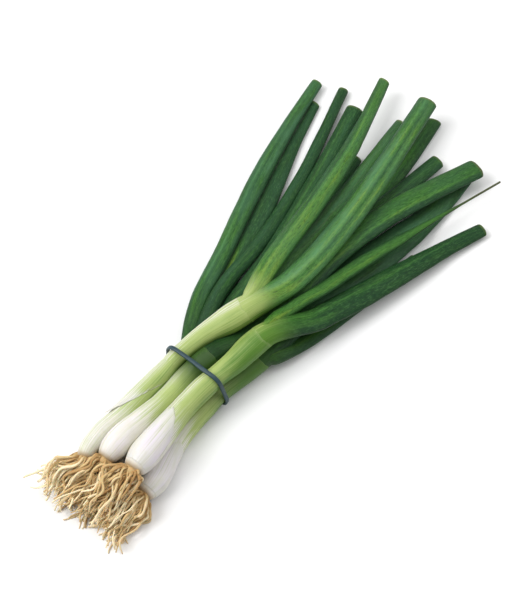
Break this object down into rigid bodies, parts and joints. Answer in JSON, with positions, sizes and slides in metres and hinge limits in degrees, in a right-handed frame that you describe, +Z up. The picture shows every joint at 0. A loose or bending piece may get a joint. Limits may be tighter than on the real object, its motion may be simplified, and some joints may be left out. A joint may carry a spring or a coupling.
{
  "type": "spring onion bunch",
  "caption": "Spring onions lying in a fan, held by a rubber band: white bulbs with roots, pale stems and hollow green leaves with cut ends.",
  "frame": {"origin": "middle of the bunch's footprint on the surface it lies on", "axes": "+X along the bunch towards the cut leaf ends, +Y to the left seen from the roots, +Z up"},
  "size_m": [0.3324, 0.1482, 0.0308],
  "materials": {
    "shaft": "smooth, slightly glossy",
    "leaf": "smooth with a faint waxy sheen",
    "roots": "dry and matte",
    "rubber_band": "satin"
  },
  "bodies": {
    "root": {"onion_1_shaft": "shaft", "onion_1_roots": "roots", "onion_1_leaf_1": "leaf", "onion_1_leaf_2": "leaf", "onion_1_leaf_3": "leaf", "onion_2_shaft": "shaft", "onion_2_roots": "roots", "onion_2_leaf_1": "leaf", "onion_2_leaf_2": "leaf", "onion_3_shaft": "shaft", "onion_3_roots": "roots", "onion_3_leaf_1": "leaf", "onion_3_leaf_2": "leaf", "onion_4_shaft": "shaft", "onion_4_roots": "roots", "onion_4_leaf_1": "leaf", "onion_4_leaf_2": "leaf", "onion_4_leaf_3": "leaf", "onion_5_shaft": "shaft", "onion_5_roots": "roots", "onion_5_leaf_1": "leaf", "onion_5_leaf_2": "leaf", "onion_6_shaft": "shaft", "onion_6_roots": "roots", "onion_6_leaf_1": "leaf", "onion_6_leaf_2": "leaf", "onion_6_leaf_3": "leaf", "rubber_band": "rubber_band"}
  },
  "joints": []
}
